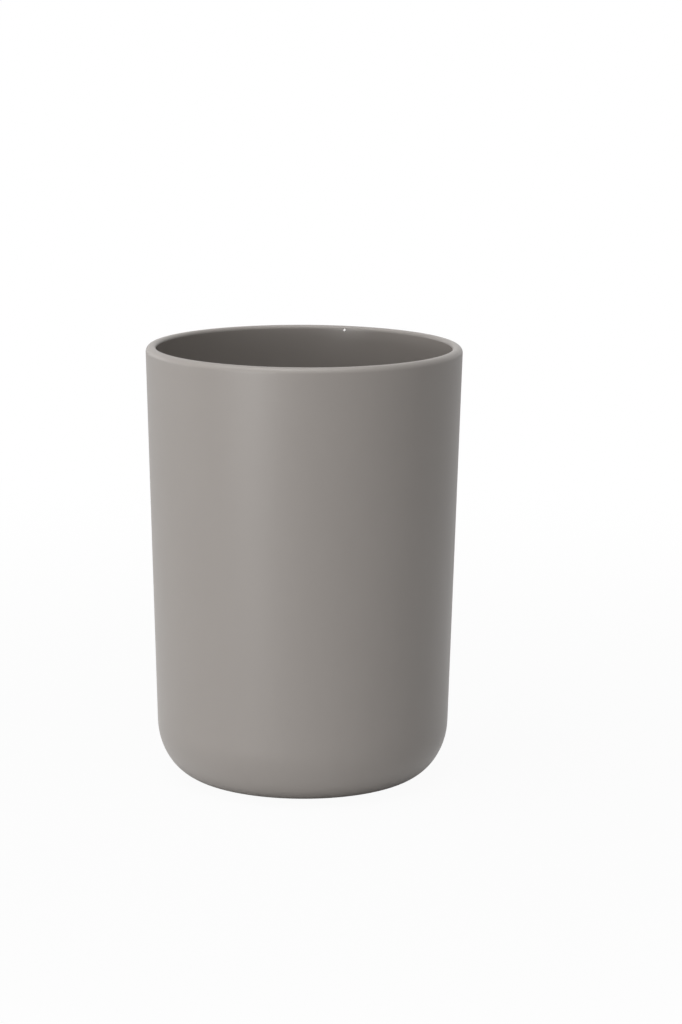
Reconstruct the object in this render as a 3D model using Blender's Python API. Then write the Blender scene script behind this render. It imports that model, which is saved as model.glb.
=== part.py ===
"""A one-piece moulded toothbrush tumbler, modelled as one revolved shell.

Run it with: blender --background --factory-startup --python part.py
Lengths are metres, +Z is up, and the origin is the centre of the base plane.

The tumbler is a single injection moulding. Its wall leans out slightly towards the
mouth, so that it draws off its core. The base corner is a tall soft round. The rim
has a large round outside and a smaller one inside, with a narrow flat land between.
Underneath it stands on a flat ring, round a shallow recess that holds the gate mark.
"""

import math
from collections.abc import Iterable
from typing import NamedTuple

import bmesh
import bpy
from mathutils import Vector

MM = 0.001

# Outside
HEIGHT = 102.0 * MM
RIM_DIAMETER = 73.5 * MM  # the widest place, where the rim's round meets the wall
FOOT_DIAMETER = 67.72 * MM  # the outer wall carried straight down to the base plane
CORNER_WIDTH = 11.0 * MM  # how far in from the wall the base corner starts to curve
CORNER_HEIGHT = 13.7 * MM  # how far up the wall the base corner reaches

# Wall and floor
RIM_WALL = 2.35 * MM
FOOT_WALL = 2.5 * MM  # the wall where the base corner ends
FLOOR_THICKNESS = 2.4 * MM

# Rim
RIM_OUTER_RADIUS = 1.3 * MM
RIM_LAND = 0.25 * MM  # the flat left between the outer round and the inner one

# Underside
STANDING_RING_WIDTH = 2.8 * MM
RECESS_DEPTH = 0.8 * MM
RECESS_STEP_WIDTH = 1.0 * MM  # the sloping step from the ring up to the recess
RING_EDGE_RADIUS = 0.3 * MM
RECESS_FILLET = 0.5 * MM

# Gate mark, in a dimple that keeps it clear of the table
DIMPLE_DIAMETER = 7.0 * MM
DIMPLE_DEPTH = 0.4 * MM
DIMPLE_STEP_WIDTH = 0.5 * MM
DIMPLE_EDGE_RADIUS = 0.2 * MM
GATE_DIAMETER = 1.8 * MM
GATE_HEIGHT = 0.3 * MM
GATE_TAPER = 0.25 * MM  # how much smaller the mark's tip is than its root, in radius

# Resolution
SEGMENTS = 96
CORNER_STEPS = 11
RIM_STEPS = 5
SMALL_STEPS = 2
MERGE_DISTANCE = 0.001 * MM

SHARP_ANGLE = math.radians(40.0)
WALL_COLOUR = (0.347, 0.319, 0.297, 1.0)
WALL_ROUGHNESS = 0.38


class Corner(NamedTuple):
    """One corner of the outline in the XZ plane, with the round that takes its edge off.

    A round of unlike width and height is part of an ellipse. Zero steps leave it sharp.
    """

    x: float
    z: float
    width: float = 0.0
    height: float = 0.0
    steps: int = 0


def rounded(before: Corner, corner: Corner, after: Corner) -> list[Vector]:
    """Points of the round at one corner, tangent to the lines that meet there.

    The plane is stretched along Z until the ellipse is a circle, the circle's arc is
    found there, and its points are stretched back.
    """
    here = Vector((corner.x, corner.z))
    if not corner.steps:
        return [here]
    stretch = corner.width / corner.height
    here.y *= stretch
    back = (Vector((before.x, before.z * stretch)) - here).normalized()
    ahead = (Vector((after.x, after.z * stretch)) - here).normalized()
    half_angle = back.angle(ahead) / 2
    centre = here + (back + ahead).normalized() * (corner.width / math.sin(half_angle))
    tangent_distance = corner.width / math.tan(half_angle)
    start = here + back * tangent_distance - centre
    sweep = start.angle_signed(here + ahead * tangent_distance - centre)
    points = []
    for step in range(corner.steps + 1):
        turn = -sweep * step / corner.steps
        spoke = Vector((
            start.x * math.cos(turn) - start.y * math.sin(turn),
            start.x * math.sin(turn) + start.y * math.cos(turn),
        ))
        points.append(Vector((centre.x + spoke.x, (centre.y + spoke.y) / stretch)))
    return points


def outline(corners: list[Corner]) -> list[Vector]:
    """The whole open outline, with each corner but the two ends rounded."""
    points = [Vector((corners[0].x, corners[0].z))]
    for before, corner, after in zip(corners, corners[1:], corners[2:]):
        points += rounded(before, corner, after)
    points.append(Vector((corners[-1].x, corners[-1].z)))
    return points


def outside_corners() -> list[Corner]:
    """The rim's outer corner and the base corner."""
    rim_radius = RIM_DIAMETER / 2
    foot_radius = FOOT_DIAMETER / 2
    lean = (rim_radius - foot_radius) / (HEIGHT - RIM_OUTER_RADIUS)
    top_radius = rim_radius + lean * RIM_OUTER_RADIUS
    return [
        Corner(top_radius, HEIGHT, RIM_OUTER_RADIUS, RIM_OUTER_RADIUS, RIM_STEPS),
        Corner(foot_radius, 0.0, CORNER_WIDTH, CORNER_HEIGHT, CORNER_STEPS),
    ]


def outer_radius_at(z: float) -> float:
    """Radius of the straight outer wall at a height."""
    top, foot = outside_corners()
    return foot.x + (top.x - foot.x) * z / top.z


def inside_corners() -> list[Corner]:
    """From the middle of the floor, round the inner corner and up to the rim."""
    floor = RECESS_DEPTH + FLOOR_THICKNESS
    corner_width = CORNER_WIDTH - FOOT_WALL
    corner_height = CORNER_HEIGHT - floor
    rim_radius = outer_radius_at(HEIGHT) - RIM_WALL
    low_radius = outer_radius_at(CORNER_HEIGHT) - FOOT_WALL
    lean = (rim_radius - low_radius) / (HEIGHT - CORNER_HEIGHT)
    floor_radius = low_radius - lean * corner_height
    inner_round = RIM_WALL - RIM_OUTER_RADIUS - RIM_LAND
    return [
        Corner(0.0, floor),
        Corner(floor_radius, floor, corner_width, corner_height, CORNER_STEPS),
        Corner(rim_radius, HEIGHT, inner_round, inner_round, RIM_STEPS),
    ]


def underside_corners() -> list[Corner]:
    """From the standing ring's inner edge, over the recess and dimple to the gate mark."""
    ring_radius = outer_radius_at(0.0) - CORNER_WIDTH - STANDING_RING_WIDTH
    recess_radius = ring_radius - RECESS_STEP_WIDTH
    dimple_radius = DIMPLE_DIAMETER / 2
    ceiling_radius = dimple_radius - DIMPLE_STEP_WIDTH
    ceiling = RECESS_DEPTH + DIMPLE_DEPTH
    gate_radius = GATE_DIAMETER / 2
    edge, fillet, lip = RING_EDGE_RADIUS, RECESS_FILLET, DIMPLE_EDGE_RADIUS
    return [
        Corner(ring_radius, 0.0, edge, edge, SMALL_STEPS),
        Corner(recess_radius, RECESS_DEPTH, fillet, fillet, SMALL_STEPS),
        Corner(dimple_radius, RECESS_DEPTH, lip, lip, SMALL_STEPS),
        Corner(ceiling_radius, ceiling, lip, lip, SMALL_STEPS),
        Corner(gate_radius, ceiling),
        Corner(gate_radius - GATE_TAPER, ceiling - GATE_HEIGHT),
        Corner(0.0, ceiling - GATE_HEIGHT),
    ]


def matte_plastic(name: str, colour: tuple, roughness: float) -> bpy.types.Material:
    """A plain moulded plastic."""
    material = bpy.data.materials.new(name)
    material.use_nodes = True
    shader = material.node_tree.nodes["Principled BSDF"]
    shader.inputs["Base Color"].default_value = colour
    shader.inputs["Roughness"].default_value = roughness
    shader.inputs["Metallic"].default_value = 0.0
    material.diffuse_color = colour
    return material


def profile_mesh(name: str, points: Iterable[Vector]) -> bpy.types.Mesh:
    """An open chain of edges in the XZ plane."""
    mesh = bpy.data.meshes.new(name)
    chain = bmesh.new()
    verts = [chain.verts.new((point.x, 0.0, point.y)) for point in points]
    for start, end in zip(verts, verts[1:]):
        chain.edges.new((start, end))
    chain.to_mesh(mesh)
    chain.free()
    return mesh


def revolved(name: str, points: Iterable[Vector]) -> bpy.types.Object:
    """An object that turns an outline once round Z, and is kept as a finished mesh."""
    draft = bpy.data.objects.new(name + "_profile", profile_mesh(name + "_profile", points))
    bpy.context.scene.collection.objects.link(draft)
    screw = draft.modifiers.new("Turn", "SCREW")
    screw.angle = math.tau
    screw.steps = SEGMENTS
    screw.render_steps = SEGMENTS
    screw.use_merge_vertices = True
    screw.merge_threshold = MERGE_DISTANCE
    graph = bpy.context.evaluated_depsgraph_get()
    mesh = bpy.data.meshes.new_from_object(draft.evaluated_get(graph))
    bpy.data.objects.remove(draft)
    mesh.name = name
    mesh.shade_smooth()
    mesh.set_sharp_from_angle(angle=SHARP_ANGLE)
    body = bpy.data.objects.new(name, mesh)
    bpy.context.scene.collection.objects.link(body)
    return body


def clear_scene() -> None:
    for item in list(bpy.data.objects):
        bpy.data.objects.remove(item)


def build() -> None:
    """The tumbler, from one outline that runs from the floor's centre to the gate mark."""
    clear_scene()
    corners = inside_corners() + outside_corners() + underside_corners()
    tumbler = revolved("tumbler", outline(corners))
    tumbler.data.materials.append(matte_plastic("taupe_plastic", WALL_COLOUR, WALL_ROUGHNESS))


build()
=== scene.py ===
"""Looks of a moulded toothbrush tumbler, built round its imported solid.

The tumbler is one injection moulding in warm grey plastic. Its outside comes from a
finely etched cavity and is satin, its inside from a polished core and is glossier, and
the rim is where the two meet. All lengths are metres, +Z is up, and the origin is the
centre of the base plane.
"""

import enum
import logging
import math
from collections.abc import Iterator
from dataclasses import dataclass, field

import bpy
from mathutils import Matrix, Vector


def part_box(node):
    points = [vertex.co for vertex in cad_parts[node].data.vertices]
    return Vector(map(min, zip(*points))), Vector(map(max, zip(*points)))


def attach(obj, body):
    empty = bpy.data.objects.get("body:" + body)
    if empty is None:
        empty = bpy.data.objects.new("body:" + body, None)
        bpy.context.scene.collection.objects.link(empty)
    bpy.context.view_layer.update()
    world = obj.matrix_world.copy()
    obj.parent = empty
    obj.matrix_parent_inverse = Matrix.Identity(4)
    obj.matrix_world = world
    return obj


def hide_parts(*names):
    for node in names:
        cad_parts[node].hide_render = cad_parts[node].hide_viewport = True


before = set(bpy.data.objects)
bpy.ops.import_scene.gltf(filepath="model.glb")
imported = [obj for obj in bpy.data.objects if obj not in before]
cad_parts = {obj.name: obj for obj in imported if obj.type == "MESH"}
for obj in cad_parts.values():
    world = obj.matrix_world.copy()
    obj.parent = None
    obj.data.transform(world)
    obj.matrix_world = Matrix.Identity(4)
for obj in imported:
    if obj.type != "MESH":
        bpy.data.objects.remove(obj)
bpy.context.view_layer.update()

CAD_NODE = "tumbler"
LOG = logging.getLogger("tumbler")

MM = 0.001
WHITE = (1.0, 1.0, 1.0, 1.0)
WHITE_STRENGTH = 1.0
ORIGIN = Vector((0.0, 0.0, 0.0))

Pair = tuple[float, float]
Triple = tuple[float, float, float]
Socket = bpy.types.NodeSocket


class Zone(enum.IntEnum):
    """The areas of the mould that give the one moulding its different finishes."""

    CORE = 0
    RIM = 1
    CAVITY = 2
    FOOT = 3
    GATE = 4


@dataclass(frozen=True)
class Corner:
    """One corner of the outline in the XZ plane, with the round that eases it.

    A round of unlike width and height is part of an ellipse. Zero steps leave the
    corner sharp. The zone is that of the surface from this corner to the next, and the
    round has it too, unless it has a zone of its own.
    """

    x: float
    z: float
    zone: Zone
    width: float = 0.0
    height: float = 0.0
    steps: int = 0
    round_zone: Zone | None = None

    def rounded(self, before: "Corner", after: "Corner") -> list[Vector]:
        """Work out the points of the round, tangent to the lines that meet here.

        The plane is stretched along Z until the ellipse is a circle, the circle's arc
        is found there, and its points are stretched back.

        Args:
            before: The outline's previous corner.
            after: The outline's next corner.

        Returns:
            The points, as (radius, height), from the first tangent to the second.
        """
        here = Vector((self.x, self.z))
        if not self.steps:
            return [here]
        stretch = self.width / self.height
        here.y *= stretch
        back = (Vector((before.x, before.z * stretch)) - here).normalized()
        ahead = (Vector((after.x, after.z * stretch)) - here).normalized()
        half_angle = back.angle(ahead) / 2
        centre = here + (back + ahead).normalized() * (self.width / math.sin(half_angle))
        tangent_distance = self.width / math.tan(half_angle)
        start = here + back * tangent_distance - centre
        sweep = start.angle_signed(here + ahead * tangent_distance - centre)
        points = []
        for step in range(self.steps + 1):
            spoke = Matrix.Rotation(-sweep * step / self.steps, 2) @ start
            points.append(Vector((centre.x + spoke.x, (centre.y + spoke.y) / stretch)))
        return points


@dataclass
class TumblerSizes:
    """The moulding's sizes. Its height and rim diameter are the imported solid's own."""

    height: float
    rim_diameter: float
    foot_diameter: float = 67.72 * MM
    corner_width: float = 11.0 * MM
    corner_height: float = 13.7 * MM
    rim_wall: float = 2.35 * MM
    foot_wall: float = 2.5 * MM
    floor_thickness: float = 2.4 * MM
    rim_outer_radius: float = 1.3 * MM
    rim_land: float = 0.25 * MM
    standing_ring_width: float = 2.8 * MM
    recess_depth: float = 0.8 * MM
    recess_step_width: float = 1.0 * MM
    ring_edge_radius: float = 0.3 * MM
    recess_fillet: float = 0.5 * MM
    dimple_diameter: float = 7.0 * MM
    dimple_depth: float = 0.4 * MM
    dimple_step_width: float = 0.5 * MM
    dimple_edge_radius: float = 0.2 * MM
    gate_diameter: float = 1.8 * MM
    gate_height: float = 0.3 * MM
    gate_taper: float = 0.25 * MM
    gate_edge_radius: float = 0.08 * MM

    def outer_radius(self, z: float) -> float:
        """Work out the radius of the straight outer wall, carried to any height.

        Args:
            z: The height.

        Returns:
            The wall's radius there.
        """
        rim, foot = self.rim_diameter / 2, self.foot_diameter / 2
        lean = (rim - foot) / (self.height - self.rim_outer_radius)
        return foot + lean * z

    def inner_radius(self, z: float) -> float:
        """Work out the radius of the straight inner wall, carried to any height.

        Args:
            z: The height.

        Returns:
            The wall's radius there.
        """
        rim = self.outer_radius(self.height) - self.rim_wall
        low = self.outer_radius(self.corner_height) - self.foot_wall
        lean = (rim - low) / (self.height - self.corner_height)
        return low + lean * (z - self.corner_height)


@dataclass
class Outline:
    """The moulding's half section, from the floor's centre round to the gate mark."""

    sizes: TumblerSizes
    corner_steps: int = 40
    rim_steps: int = 14
    small_steps: int = 6
    longest_step: float = 6.0 * MM
    support: float = 0.4 * MM
    shortest_shared: float = 1.6 * MM

    def core_corners(self) -> Iterator[Corner]:
        """Work out the corners that the polished core shapes.

        Yields:
            The corners, from the middle of the floor to the rim's inner edge.
        """
        s = self.sizes
        floor = s.recess_depth + s.floor_thickness
        low, high = s.inner_radius(floor), s.inner_radius(s.height)
        width, height = s.corner_width - s.foot_wall, s.corner_height - floor
        edge = s.rim_wall - s.rim_outer_radius - s.rim_land
        yield Corner(0.0, floor, Zone.CORE)
        yield Corner(low, floor, Zone.CORE, width, height, self.corner_steps)
        yield Corner(high, s.height, Zone.RIM, edge, edge, self.rim_steps)

    def cavity_corners(self) -> Iterator[Corner]:
        """Work out the corners that the etched cavity shapes.

        Yields:
            The corners, from the rim's outer edge down and under to the gate mark.
        """
        s = self.sizes
        lip = s.rim_outer_radius
        top = s.outer_radius(s.height)
        yield Corner(top, s.height, Zone.CAVITY, lip, lip, self.rim_steps, Zone.RIM)
        foot = s.outer_radius(0.0)
        yield Corner(
            foot, 0.0, Zone.FOOT, s.corner_width, s.corner_height, self.corner_steps, Zone.CAVITY
        )
        ring = foot - s.corner_width - s.standing_ring_width
        dimple = s.dimple_diameter / 2
        ceiling = s.recess_depth + s.dimple_depth
        gate = s.gate_diameter / 2
        tip = ceiling - s.gate_height
        for x, z, zone, edge in (
            (ring, 0.0, Zone.CAVITY, s.ring_edge_radius),
            (ring - s.recess_step_width, s.recess_depth, Zone.CAVITY, s.recess_fillet),
            (dimple, s.recess_depth, Zone.CAVITY, s.dimple_edge_radius),
            (dimple - s.dimple_step_width, ceiling, Zone.CAVITY, s.dimple_edge_radius),
            (gate, ceiling, Zone.GATE, s.gate_edge_radius),
            (gate - s.gate_taper, tip, Zone.GATE, s.gate_edge_radius),
        ):
            yield Corner(x, z, zone, edge, edge, self.small_steps)
        yield Corner(0.0, tip, Zone.GATE)

    def between(self, start: Vector, end: Vector) -> list[Vector]:
        """Share out points along a straight stretch, unless it is a short one.

        A point close to each end keeps the shading of the rounds off the straight, and
        the rest are evenly spaced.

        Args:
            start: The stretch's first point, which is not repeated.
            end: Its last point, which is not repeated.

        Returns:
            The points between the two, in order.
        """
        run = end - start
        if run.length < self.shortest_shared:
            return []
        ahead = run.normalized() * self.support
        first, last = start + ahead, end - ahead
        count = max(1, math.ceil((last - first).length / self.longest_step))
        return [first.lerp(last, step / count) for step in range(count + 1)]

    def points(self) -> tuple[list[Vector], list[Zone]]:
        """Work out the whole outline.

        Returns:
            Its points, as (radius, height), and for each the zone of the surface from
            there to the next.
        """
        corners = [*self.core_corners(), *self.cavity_corners()]
        points = [Vector((corners[0].x, corners[0].z))]
        zones = [corners[0].zone]
        for before, corner, after in zip(corners, corners[1:], corners[2:]):
            arc = corner.rounded(before, after)
            straight = self.between(points[-1], arc[0])
            points += straight + arc
            zones += [before.zone] * len(straight)
            round_zone = corner.zone if corner.round_zone is None else corner.round_zone
            zones += [round_zone] * (len(arc) - 1) + [corner.zone]
        end = Vector((corners[-1].x, corners[-1].z))
        straight = self.between(points[-1], end)
        points += straight + [end]
        zones += [corners[-2].zone] * len(straight) + [corners[-1].zone]
        return points, zones


class Blend(enum.Enum):
    """What a Mix node blends: its data type, two inputs and output, by number."""

    NUMBER = ("FLOAT", 2, 3, 0)
    DIRECTION = ("VECTOR", 4, 5, 1)
    COLOUR = ("RGBA", 6, 7, 2)


class NodeSheet:
    """A short way to lay out nodes in one tree."""

    def __init__(self, tree: bpy.types.NodeTree) -> None:
        """Keep the tree that the nodes go into."""
        self.tree = tree

    def add(
        self, kind: str, inputs: dict[str | int, object] | None = None, **settings: object
    ) -> bpy.types.Node:
        """Add one node.

        Args:
            kind: Blender's name for the node's type.
            inputs: For each input, by name or number, the value or the output that feeds it.
            **settings: The node's own properties.

        Returns:
            The node.
        """
        node = self.tree.nodes.new(kind)
        for name, value in settings.items():
            setattr(node, name, value)
        for key, value in (inputs or {}).items():
            socket = node.inputs[key]
            if isinstance(value, Socket):
                self.tree.links.new(value, socket)
            else:
                socket.default_value = value
        return node

    def math(self, operation: str, *values: Socket | float) -> Socket:
        """Add a Math node on the given values, and return its output."""
        inputs = dict(enumerate(values))
        return self.add("ShaderNodeMath", inputs, operation=operation).outputs[0]

    def whole(self, operation: str, *values: Socket | int) -> Socket:
        """Add an Integer Math node on the given values, and return its output."""
        inputs = dict(enumerate(values))
        return self.add("FunctionNodeIntegerMath", inputs, operation=operation).outputs[0]

    def distance(self, place: Socket, centre: Vector = ORIGIN) -> Socket:
        """Measure how far a place is from a point, or from the origin, and return that."""
        inputs = {0: place, 1: centre}
        return self.add("ShaderNodeVectorMath", inputs, operation="DISTANCE").outputs["Value"]

    def noise(self, place: Socket, size: float, detail: float = 2.0, rough: float = 0.5) -> Socket:
        """Add a noise whose clouds are about the given size.

        Args:
            place: The coordinates that it reads.
            size: The size of its largest clouds.
            detail: How many finer octaves it has.
            rough: How strong the finer octaves are.

        Returns:
            The noise, from 0 to 1.
        """
        inputs = {"Vector": place, "Scale": 1.0 / size, "Detail": detail, "Roughness": rough}
        return self.add("ShaderNodeTexNoise", inputs).outputs["Fac"]

    def graded(self, value: Socket, near: Pair, far: Pair, shape: str = "LINEAR") -> Socket:
        """Grade one value by another.

        Args:
            value: The value that is read.
            near: A reading, and the result up to there.
            far: A larger reading, and the result from there on.
            shape: Blender's name for how the result runs between the two.

        Returns:
            The result.
        """
        inputs = {
            "Value": value,
            "From Min": near[0],
            "From Max": far[0],
            "To Min": near[1],
            "To Max": far[1],
        }
        return self.add("ShaderNodeMapRange", inputs, interpolation_type=shape).outputs["Result"]

    def mix(self, blend: Blend, share: Socket, first: object, second: object) -> Socket:
        """Blend two values.

        Args:
            blend: What the two are.
            share: The second value's share, from 0 to 1.
            first: The first value, or the output that gives it.
            second: The second value, or the output that gives it.

        Returns:
            The blended value.
        """
        kind, low, high, result = blend.value
        inputs = {0: share, low: first, high: second}
        return self.add("ShaderNodeMix", inputs, data_type=kind).outputs[result]


def direction(azimuth: float, elevation: float = 0.0) -> Vector:
    """Turn two angles into a direction.

    Args:
        azimuth: Degrees round the tumbler's axis, from the front to the right.
        elevation: Degrees up from level.

    Returns:
        The direction, one unit long.
    """
    turn, rise = math.radians(azimuth), math.radians(elevation)
    return Vector((
        math.sin(turn) * math.cos(rise), -math.cos(turn) * math.cos(rise), math.sin(rise)
    ))


@dataclass(frozen=True)
class PolishedNick:
    """A tiny nick in an edge, rubbed bright, which catches the light from one side."""

    centre: Vector
    facing: Vector
    bright_radius: float = 0.16 * MM
    faded_radius: float = 0.45 * MM
    roughness: float = 0.08

    def cut(
        self, sheet: NodeSheet, place: Socket, roughness: Socket, normal: Socket
    ) -> tuple[Socket, Socket]:
        """Let the nick take the place of a finish, and fade into it.

        Args:
            sheet: The material's nodes.
            place: Object coordinates.
            roughness: The finish's own roughness.
            normal: The finish's own normal.

        Returns:
            The roughness and the normal, with the nick in them.
        """
        away = sheet.distance(place, self.centre)
        inside = sheet.graded(away, (self.bright_radius, 1.0), (self.faded_radius, 0.0))
        smooth = sheet.mix(Blend.NUMBER, inside, roughness, self.roughness)
        turned = sheet.mix(Blend.DIRECTION, inside, normal, self.facing)
        return smooth, turned


@dataclass(frozen=True)
class MouldedFinish:
    """The warm grey plastic, as one area of the mould leaves it.

    The pigment clouds are drawn out along the flow, which runs up the wall. The grain is
    the etched texture of the mould, and the haze is how its gloss varies.
    """

    name: str
    pigment: Triple
    roughness: float
    haze: float = 0.03
    haze_size: float = 5.0 * MM
    cloud_size: float = 9.0 * MM
    cloud_detail: float = 3.0
    cloud_breakup: float = 0.55
    cloud_contrast: float = 0.02
    flow_stretch: float = 3.0
    grain_size: float = 0.16 * MM
    grain_depth: float = 0.006 * MM
    nicked: bool = False

    def build(self, nick: PolishedNick) -> bpy.types.Material:
        """Build the material.

        Args:
            nick: The rim's nick, which only a nicked finish shows.

        Returns:
            A Principled material on Object coordinates.
        """
        material = bpy.data.materials.new(self.name)
        material.use_nodes = True
        material.diffuse_color = (*self.pigment, 1.0)
        sheet = NodeSheet(material.node_tree)
        place = sheet.add("ShaderNodeTexCoord").outputs["Object"]
        flow = (1.0, 1.0, 1.0 / self.flow_stretch)
        drawn = sheet.add("ShaderNodeMapping", {"Vector": place, "Scale": flow}).outputs["Vector"]
        roughness = self.gloss_haze(sheet, drawn)
        normal = self.etched_grain(sheet, place)
        if self.nicked:
            roughness, normal = nick.cut(sheet, place, roughness, normal)
        shader = material.node_tree.nodes["Principled BSDF"]
        links = material.node_tree.links
        links.new(self.pigment_clouds(sheet, drawn), shader.inputs["Base Color"])
        links.new(roughness, shader.inputs["Roughness"])
        links.new(normal, shader.inputs["Normal"])
        return material

    def pigment_clouds(self, sheet: NodeSheet, drawn: Socket) -> Socket:
        """Vary the pigment a little, in clouds.

        Args:
            sheet: The material's nodes.
            drawn: Object coordinates, drawn out along the flow.

        Returns:
            The colour.
        """
        clouds = sheet.noise(drawn, self.cloud_size, self.cloud_detail, self.cloud_breakup)
        rich = [part * (1 - self.cloud_contrast) for part in self.pigment]
        thin = [part * (1 + self.cloud_contrast) for part in self.pigment]
        return sheet.mix(Blend.COLOUR, clouds, (*rich, 1.0), (*thin, 1.0))

    def gloss_haze(self, sheet: NodeSheet, drawn: Socket) -> Socket:
        """Vary the roughness a little from place to place.

        Args:
            sheet: The material's nodes.
            drawn: Object coordinates, drawn out along the flow.

        Returns:
            The roughness.
        """
        clouds = sheet.noise(drawn, self.haze_size)
        least, most = self.roughness - self.haze, self.roughness + self.haze
        return sheet.graded(clouds, (0.0, least), (1.0, most))

    def etched_grain(self, sheet: NodeSheet, place: Socket) -> Socket:
        """Press the mould's fine grain into the surface.

        Args:
            sheet: The material's nodes.
            place: Object coordinates.

        Returns:
            The surface's normal.
        """
        grain = sheet.noise(place, self.grain_size)
        bump = sheet.add("ShaderNodeBump", {"Height": grain, "Distance": self.grain_depth})
        return bump.outputs["Normal"]


PIGMENT: Triple = (0.347, 0.319, 0.297)


@dataclass(frozen=True)
class MouldFinishes:
    """The finishes that one mould gives the moulding, by zone."""

    core: MouldedFinish = MouldedFinish(
        "polished_inside", PIGMENT, roughness=0.22, grain_depth=0.001 * MM, nicked=True
    )
    rim: MouldedFinish = MouldedFinish(
        "rim_plastic", PIGMENT, roughness=0.4, grain_depth=0.003 * MM, nicked=True
    )
    cavity: MouldedFinish = MouldedFinish("satin_outside", PIGMENT, roughness=0.38)
    foot: MouldedFinish = MouldedFinish("standing_ring", PIGMENT, roughness=0.36)
    gate: MouldedFinish = MouldedFinish("gate_mark", PIGMENT, roughness=0.55)

    def built(self, nick: PolishedNick) -> dict[Zone, bpy.types.Material]:
        """Build every finish once, with the rim's nick, and key it by its zone."""
        return {zone: getattr(self, zone.name.lower()).build(nick) for zone in Zone}


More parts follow.
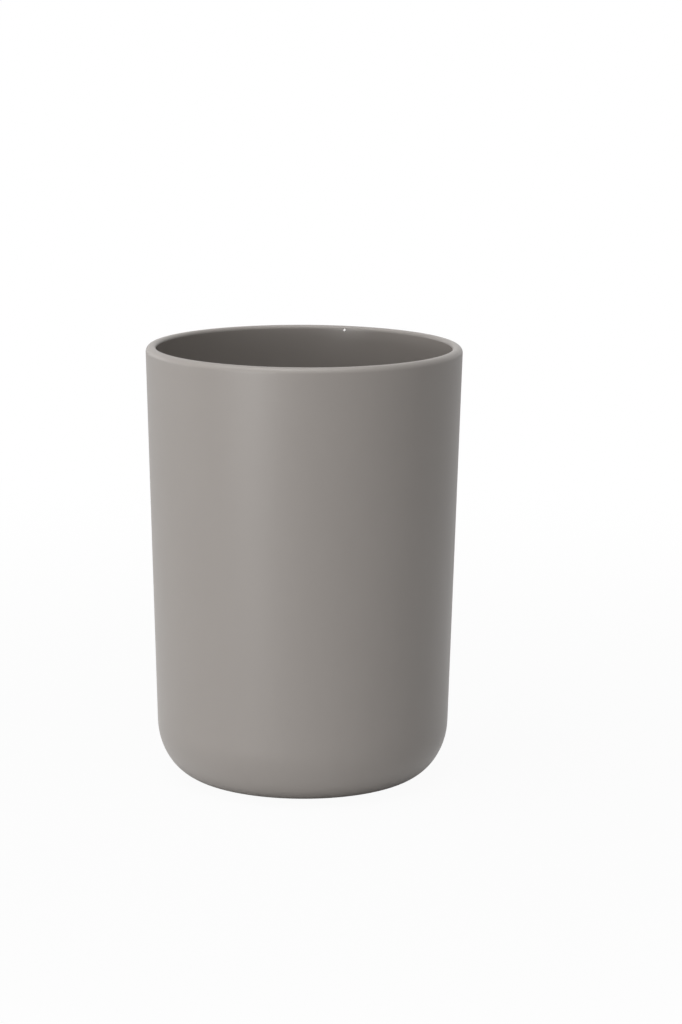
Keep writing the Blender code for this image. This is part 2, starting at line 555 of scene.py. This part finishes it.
@dataclass
class TurningTree:
    """A Geometry Nodes tree that turns an outline once round Z, and dresses it by zone."""

    finishes: dict[Zone, bpy.types.Material]
    name: str = "turned_moulding"
    zone_attribute: str = "zone"
    noise_middle: float = 0.5

    def __post_init__(self) -> None:
        """Make the tree with its named inputs, and lay out its nodes."""
        self.tree = bpy.data.node_groups.new(self.name, "GeometryNodeTree")
        self.tree.is_modifier = True
        face = self.tree.interface
        face.new_socket(name="Outline", in_out="INPUT", socket_type="NodeSocketGeometry")
        self.inputs = {
            label: face.new_socket(name=label, in_out="INPUT", socket_type=kind)
            for label, kind in (
                ("Segments", "NodeSocketInt"),
                ("Merge Distance", "NodeSocketFloat"),
                ("Gate Radius", "NodeSocketFloat"),
                ("Gate Ceiling", "NodeSocketFloat"),
                ("Gate Tear", "NodeSocketFloat"),
                ("Tear Size", "NodeSocketFloat"),
                ("Seed", "NodeSocketFloat"),
            )
        }
        face.new_socket(name="Moulding", in_out="OUTPUT", socket_type="NodeSocketGeometry")
        self.sheet = NodeSheet(self.tree)
        self.given = self.sheet.add("NodeGroupInput").outputs
        self.build()

    def build(self) -> None:
        """Lay out the nodes, from the outline to the dressed moulding."""
        add = self.sheet.add
        seam = {"Geometry": self.turned(), "Distance": self.given["Merge Distance"]}
        closed = add("GeometryNodeMergeByDistance", seam).outputs["Geometry"]
        torn = self.torn_gate(closed)
        smooth = add("GeometryNodeSetShadeSmooth", {"Geometry": torn}).outputs["Geometry"]
        whole = add("GeometryNodeRealizeInstances", {"Geometry": smooth}).outputs["Geometry"]
        add("NodeGroupOutput", {"Moulding": self.dressed(whole)})

    def outline_value(self, kind: str, value: Socket, index: Socket) -> Socket:
        """Read a value off one of the outline's points.

        Args:
            kind: The value's data type.
            value: The output that gives the value.
            index: The output that gives the point's index.

        Returns:
            The value at that point.
        """
        inputs = {"Geometry": self.given["Outline"], "Value": value, "Index": index}
        sample = self.sheet.add("GeometryNodeSampleIndex", inputs, data_type=kind, domain="POINT")
        return sample.outputs["Value"]

    def stored_zone(self) -> Socket:
        """Read the zone that is stored on the points or faces at hand.

        Returns:
            The zone's number.
        """
        inputs = {"Name": self.zone_attribute}
        stored = self.sheet.add("GeometryNodeInputNamedAttribute", inputs, data_type="INT")
        return stored.outputs["Attribute"]

    def turned(self) -> Socket:
        """Wrap a grid round Z, with one column for each point of the outline.

        The turn is clockwise, so that every face looks out of the plastic.

        Returns:
            The wrapped grid, open at its seam, with each face's zone stored on it.
        """
        sheet, given = self.sheet, self.given
        count = sheet.add(
            "GeometryNodeAttributeDomainSize", {"Geometry": given["Outline"]}, component="MESH"
        ).outputs["Point Count"]
        rows = sheet.whole("ADD", given["Segments"], 1)
        grid = sheet.add("GeometryNodeMeshGrid", {"Vertices X": rows, "Vertices Y": count})
        index = sheet.add("GeometryNodeInputIndex").outputs["Index"]
        column = sheet.whole("MODULO", index, count)
        row = sheet.whole("DIVIDE_FLOOR", index, count)
        position = sheet.add("GeometryNodeInputPosition").outputs["Position"]
        point = self.outline_value("FLOAT_VECTOR", position, column)
        split = sheet.add("ShaderNodeSeparateXYZ", {"Vector": point}).outputs
        turn = sheet.math("DIVIDE", row, given["Segments"])
        angle = sheet.math("MULTIPLY", turn, -math.tau)
        place = sheet.add(
            "ShaderNodeCombineXYZ",
            {
                "X": sheet.math("MULTIPLY", split["X"], sheet.math("COSINE", angle)),
                "Y": sheet.math("MULTIPLY", split["X"], sheet.math("SINE", angle)),
                "Z": split["Z"],
            },
        ).outputs["Vector"]
        wrapped = sheet.add(
            "GeometryNodeSetPosition", {"Geometry": grid.outputs["Mesh"], "Position": place}
        ).outputs["Geometry"]
        band = sheet.whole("MODULO", index, sheet.whole("SUBTRACT", count, 1))
        zone = self.outline_value("INT", self.stored_zone(), band)
        return sheet.add(
            "GeometryNodeStoreNamedAttribute",
            {"Geometry": wrapped, "Name": self.zone_attribute, "Value": zone},
            data_type="INT",
            domain="FACE",
        ).outputs["Geometry"]

    def torn_gate(self, geometry: Socket) -> Socket:
        """Roughen the gate mark's tip, where the runner was torn off.

        Args:
            geometry: The closed moulding.

        Returns:
            The moulding with its torn tip.
        """
        sheet, given = self.sheet, self.given
        position = sheet.add("GeometryNodeInputPosition").outputs["Position"]
        split = sheet.add("ShaderNodeSeparateXYZ", {"Vector": position}).outputs
        flat = sheet.add("ShaderNodeCombineXYZ", {"X": split["X"], "Y": split["Y"]})
        radius = sheet.distance(flat.outputs["Vector"])
        near_axis = sheet.math("LESS_THAN", radius, given["Gate Radius"])
        under_ceiling = sheet.math("LESS_THAN", split["Z"], given["Gate Ceiling"])
        mask = sheet.math("MULTIPLY", near_axis, under_ceiling)
        noise = sheet.add(
            "ShaderNodeTexNoise",
            {
                "Vector": position,
                "W": given["Seed"],
                "Scale": sheet.math("DIVIDE", 1.0, given["Tear Size"]),
            },
            noise_dimensions="4D",
        ).outputs["Fac"]
        centred = sheet.math("SUBTRACT", noise, self.noise_middle)
        depth = sheet.math("MULTIPLY", sheet.math("MULTIPLY", centred, given["Gate Tear"]), mask)
        offset = sheet.add("ShaderNodeCombineXYZ", {"Z": depth}).outputs["Vector"]
        return sheet.add(
            "GeometryNodeSetPosition", {"Geometry": geometry, "Offset": offset}
        ).outputs["Geometry"]

    def dressed(self, geometry: Socket) -> Socket:
        """Give each zone its finish.

        Args:
            geometry: The moulding, with its zones stored on its faces.

        Returns:
            The moulding, as the last Set Material node leaves it.
        """
        zone = self.stored_zone()
        for key, material in self.finishes.items():
            is_zone = self.sheet.add(
                "FunctionNodeCompare", {2: zone, 3: int(key)}, data_type="INT", operation="EQUAL"
            ).outputs["Result"]
            inputs = {"Geometry": geometry, "Selection": is_zone, "Material": material}
            geometry = self.sheet.add("GeometryNodeSetMaterial", inputs).outputs["Geometry"]
        return geometry


@dataclass
class Tumbler:
    """The moulding: its outline, turned in fine steps and dressed by zone.

    Its one nick is on the far inner edge of the rim. Where that is and which way it
    faces are given as direction() takes them.
    """

    sizes: TumblerSizes
    name: str = "tumbler_moulding"
    slot: str = "satin_plastic"
    segments: int = 288
    merge_distance: float = 0.002 * MM
    gate_tear: float = 0.12 * MM
    tear_size: float = 0.5 * MM
    seed: float = 7.0
    sharp_angle: float = math.radians(50.0)
    nick_azimuth: float = 163.66
    nick_depth: float = 0.85 * MM
    nick_facing: Pair = (-17.11, 4.88)
    finishes: MouldFinishes = field(default_factory=MouldFinishes)

    def rim_nick(self) -> PolishedNick:
        """Place the nick on the inner wall, just under the rim's inner round.

        Returns:
            The nick.
        """
        height = self.sizes.height - self.nick_depth
        centre = direction(self.nick_azimuth) * self.sizes.inner_radius(height)
        centre.z = height
        return PolishedNick(centre, facing=direction(*self.nick_facing))

    def outline_object(self, zone_attribute: str) -> bpy.types.Object:
        """Make the outline as a chain of edges, with each point's zone stored on it.

        Args:
            zone_attribute: The name under which the zone is stored.

        Returns:
            An object that holds the chain, linked to the scene.
        """
        points, zones = Outline(self.sizes).points()
        mesh = bpy.data.meshes.new(self.name + "_outline")
        verts = [(point.x, 0.0, point.y) for point in points]
        mesh.from_pydata(verts, [(i, i + 1) for i in range(len(verts) - 1)], [])
        stored = mesh.attributes.new(zone_attribute, "INT", "POINT")
        stored.data.foreach_set("value", [int(zone) for zone in zones])
        return in_scene(mesh)

    def build(self) -> bpy.types.Object:
        """Turn the outline with the tree, and keep the result as a plain mesh.

        Returns:
            The moulding's object, at the origin.
        """
        turning = TurningTree(self.finishes.built(self.rim_nick()))
        holder = self.outline_object(turning.zone_attribute)
        s = self.sizes
        values = {
            "Segments": self.segments,
            "Merge Distance": self.merge_distance,
            "Gate Radius": s.gate_diameter / 2 - s.gate_taper / 2,
            "Gate Ceiling": s.recess_depth + s.dimple_depth - s.gate_height / 2,
            "Gate Tear": self.gate_tear,
            "Tear Size": self.tear_size,
            "Seed": self.seed,
        }
        modifier = holder.modifiers.new("Turn", "NODES")
        modifier.node_group = turning.tree
        for label, value in values.items():
            modifier[turning.inputs[label].identifier] = value
        graph = bpy.context.evaluated_depsgraph_get()
        mesh = bpy.data.meshes.new_from_object(holder.evaluated_get(graph))
        bpy.data.objects.remove(holder)
        mesh.name = self.name
        mesh.set_sharp_from_angle(angle=self.sharp_angle)
        return in_scene(mesh)

    def dress(self, moulding: bpy.types.Object) -> None:
        """Ride the root body and stand for the plain solid.

        Args:
            moulding: The moulding's object.
        """
        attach(moulding, "root")
        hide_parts(CAD_NODE)


@dataclass(frozen=True)
class PhotoCamera:
    """The camera that the photograph was taken with, worked out from its outline.

    It looks along +Y from in front, down at the tumbler, turned a little to the side
    and tipped a little on its axis. Its angles are in radians. The lens is for a 36 mm
    sensor on the long side.
    """

    name: str = "photo_camera"
    distance: float = 801.2 * MM
    height: float = 215.18 * MM
    pitch: float = 0.18807
    yaw: float = 0.01092
    roll: float = 0.0062
    focal_pixels: float = 3484.8
    image_height: float = 1024.0
    sensor: float = 36.0

    def build(self) -> bpy.types.Object:
        """Add the camera, aim it and make it the scene's own.

        Returns:
            The camera's object.
        """
        data = bpy.data.cameras.new(self.name)
        data.sensor_width = self.sensor
        data.lens = self.focal_pixels * self.sensor / self.image_height
        camera = in_scene(data)
        ahead = Vector((
            math.sin(self.yaw) * math.cos(self.pitch),
            math.cos(self.yaw) * math.cos(self.pitch),
            -math.sin(self.pitch),
        ))
        level = Vector((math.cos(self.yaw), -math.sin(self.yaw), 0.0))
        upright = level.cross(ahead)
        right = level * math.cos(self.roll) + upright * math.sin(self.roll)
        up = upright * math.cos(self.roll) - level * math.sin(self.roll)
        turn = Matrix((right, up, -ahead)).transposed()
        place = Matrix.Translation((0.0, -self.distance, self.height))
        camera.matrix_world = place @ turn.to_4x4()
        bpy.context.scene.camera = camera
        return camera


@dataclass(frozen=True)
class SoftBox:
    """One soft studio lamp, placed round the tumbler and aimed at its middle.

    Its azimuth and elevation are in degrees, as direction() takes them. Level is the
    light's radiance.
    """

    name: str
    azimuth: float
    elevation: float
    level: float
    width: float
    height: float
    distance: float = 1.0

    def build(self, aim: Vector) -> bpy.types.Object:
        """Add the lamp.

        Args:
            aim: The point that it faces.

        Returns:
            The lamp's object.
        """
        data = bpy.data.lights.new(self.name, "AREA")
        data.shape = "RECTANGLE"
        data.size, data.size_y = self.width, self.height
        data.energy = self.level * math.pi * self.width * self.height
        lamp = in_scene(data)
        out = direction(self.azimuth, self.elevation)
        lamp.location = aim + out * self.distance
        lamp.rotation_mode = "QUATERNION"
        lamp.rotation_quaternion = out.to_track_quat("Z", "Y")
        return lamp


@dataclass(frozen=True)
class WhiteTable:
    """A pale table that looks white to the camera, and still takes the tumbler's shadow.

    Its look is the share of plain white that it shows in place of its lit paint. The
    share is least by the tumbler, where the shadow falls, and grows to all of it further
    out, so that the table runs into the white surround with no edge. In gloss the share
    is a painted reflection, with more white by the tumbler and less further out, and
    painted shade takes it to nothing in the narrow gap under the tumbler's base corner.
    """

    name: str = "table_top"
    width: float = 4.0
    paint: float = 0.7
    look_by_tumbler: float = 0.95
    shadow_reach: float = 80.0 * MM
    white_from: float = 400.0 * MM
    # Painted reflection: the plain white that gloss finds is more by the tumbler and less further
    # out.
    gloss_by_tumbler: float = 0.67
    painted_reflection_far_out: float = 0.5
    painted_reflection_from: float = 100.0 * MM
    painted_reflection_to: float = 500.0 * MM
    # Painted shade: gloss finds no plain white in the gap under the tumbler's base corner.
    painted_gap_shade_from: float = 24.0 * MM
    painted_gap_shade_to: float = 38.0 * MM

    def build(self) -> bpy.types.Object:
        """Lay the table.

        Returns:
            The table's object.
        """
        half = self.width / 2
        mesh = bpy.data.meshes.new(self.name)
        verts = [(-half, -half, 0.0), (half, -half, 0.0), (half, half, 0.0), (-half, half, 0.0)]
        mesh.from_pydata(verts, [], [(0, 1, 2, 3)])
        mesh.materials.append(self.material())
        table = in_scene(mesh)
        return table

    def material(self) -> bpy.types.Material:
        """Mix the lit paint with plain white.

        Returns:
            The table's material.
        """
        material = bpy.data.materials.new("white_table")
        material.use_nodes = True
        nodes = material.node_tree.nodes
        nodes.remove(nodes["Principled BSDF"])
        sheet = NodeSheet(material.node_tree)
        paint = (self.paint, self.paint, self.paint, 1.0)
        matte = sheet.add("ShaderNodeBsdfDiffuse", {"Color": paint}).outputs[0]
        plain = {"Color": WHITE, "Strength": WHITE_STRENGTH}
        glow = sheet.add("ShaderNodeEmission", plain).outputs[0]
        share = self.white_share(sheet)
        mixed = sheet.add("ShaderNodeMixShader", {0: share, 1: matte, 2: glow}).outputs[0]
        material.node_tree.links.new(mixed, nodes["Material Output"].inputs["Surface"])
        return material

    def white_share(self, sheet: NodeSheet) -> Socket:
        """Work out how much plain white each ray finds, by its distance from the axis.

        Args:
            sheet: The table's nodes.

        Returns:
            The share, which is nothing for rays that only light the tumbler.
        """
        away = sheet.distance(sheet.add("ShaderNodeTexCoord").outputs["Object"])
        # Painted reflection and painted shade: gloss finds more white by the tumbler, less further
        # out, and none in the gap under the base corner.
        look, painted_reflection, clear_of_painted_gap_shade = (
            sheet.graded(away, near, far, "SMOOTHSTEP")
            for near, far in (
                ((self.shadow_reach, self.look_by_tumbler), (self.white_from, 1.0)),
                ((self.painted_reflection_from, self.gloss_by_tumbler), (self.painted_reflection_to, self.painted_reflection_far_out)),
                ((self.painted_gap_shade_from, 0.0), (self.painted_gap_shade_to, 1.0)),
            )
        )
        camera, mirrored = seen(sheet)
        to_camera = sheet.math("MULTIPLY", camera, look)
        in_gloss = sheet.math("MULTIPLY", mirrored, sheet.math("MULTIPLY", painted_reflection, clear_of_painted_gap_shade))
        return sheet.math("MAXIMUM", to_camera, in_gloss)


@dataclass(frozen=True)
class Studio:
    """The white surround and the soft lamps."""

    aim: Vector
    ambient: float = 0.16
    lamps: tuple[SoftBox, ...] = (
        SoftBox("front_left", azimuth=-29.0, elevation=5.0, level=4.8, width=0.4, height=0.2),
        SoftBox("low_strip", azimuth=-40.0, elevation=3.0, level=17.6, width=0.4, height=0.1),
        SoftBox("side_left", azimuth=-95.0, elevation=4.0, level=2.7, width=0.4, height=0.15),
        SoftBox("back_left", azimuth=-125.0, elevation=12.0, level=1.4, width=0.6, height=0.3),
        SoftBox("high_left", azimuth=-60.0, elevation=62.0, level=1.7, width=0.8, height=0.8),
        SoftBox("overhead", azimuth=0.0, elevation=80.0, level=1.9, width=0.8, height=0.8),
    )

    def build(self) -> None:
        """Set the surround and the lamps."""
        self.surround()
        for lamp in self.lamps:
            lamp.build(self.aim)

    def surround(self) -> None:
        """Make the world white to look at, and a plain even grey as light."""
        world = bpy.data.worlds.new("white_surround")
        world.use_nodes = True
        sheet = NodeSheet(world.node_tree)
        shown = sheet.math("MAXIMUM", *seen(sheet))
        strength = sheet.graded(shown, (0.0, self.ambient), (1.0, WHITE_STRENGTH))
        background = world.node_tree.nodes["Background"]
        background.inputs["Color"].default_value = WHITE
        world.node_tree.links.new(strength, background.inputs["Strength"])
        bpy.context.scene.world = world


def in_scene(data: bpy.types.ID) -> bpy.types.Object:
    """Make an object under its data's name, and link it to the scene.

    Args:
        data: The mesh, lamp or camera.

    Returns:
        The object, at the origin.
    """
    thing = bpy.data.objects.new(data.name, data)
    bpy.context.scene.collection.objects.link(thing)
    return thing


def seen(sheet: NodeSheet) -> tuple[Socket, Socket]:
    """Tell rays that show a surface from rays that only light the tumbler.

    Args:
        sheet: The nodes of the surface's material.

    Returns:
        One for camera rays, and one for rays mirrored by gloss or passed by glass.
    """
    path = sheet.add("ShaderNodeLightPath").outputs
    mirrored = sheet.math("MAXIMUM", path["Is Glossy Ray"], path["Is Transmission Ray"])
    return path["Is Camera Ray"], mirrored


def packed_sizes() -> TumblerSizes:
    """Read the height and the rim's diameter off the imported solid."""
    low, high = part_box(CAD_NODE)
    return TumblerSizes(height=high.z - low.z, rim_diameter=high.x - low.x)


def main() -> None:
    """Build the tumbler, its camera and its studio."""
    logging.basicConfig(level=logging.INFO, format="%(name)s: %(message)s")
    bpy.context.scene.view_settings.view_transform = "Standard"
    sizes = packed_sizes()
    PhotoCamera().build()
    tumbler = Tumbler(sizes)
    moulding = tumbler.build()
    tumbler.dress(moulding)
    LOG.info("%s: %d faces", moulding.name, len(moulding.data.polygons))
    WhiteTable().build()
    Studio(aim=Vector((0.0, 0.0, sizes.height / 2))).build()


if __name__ == "__main__":
    main()
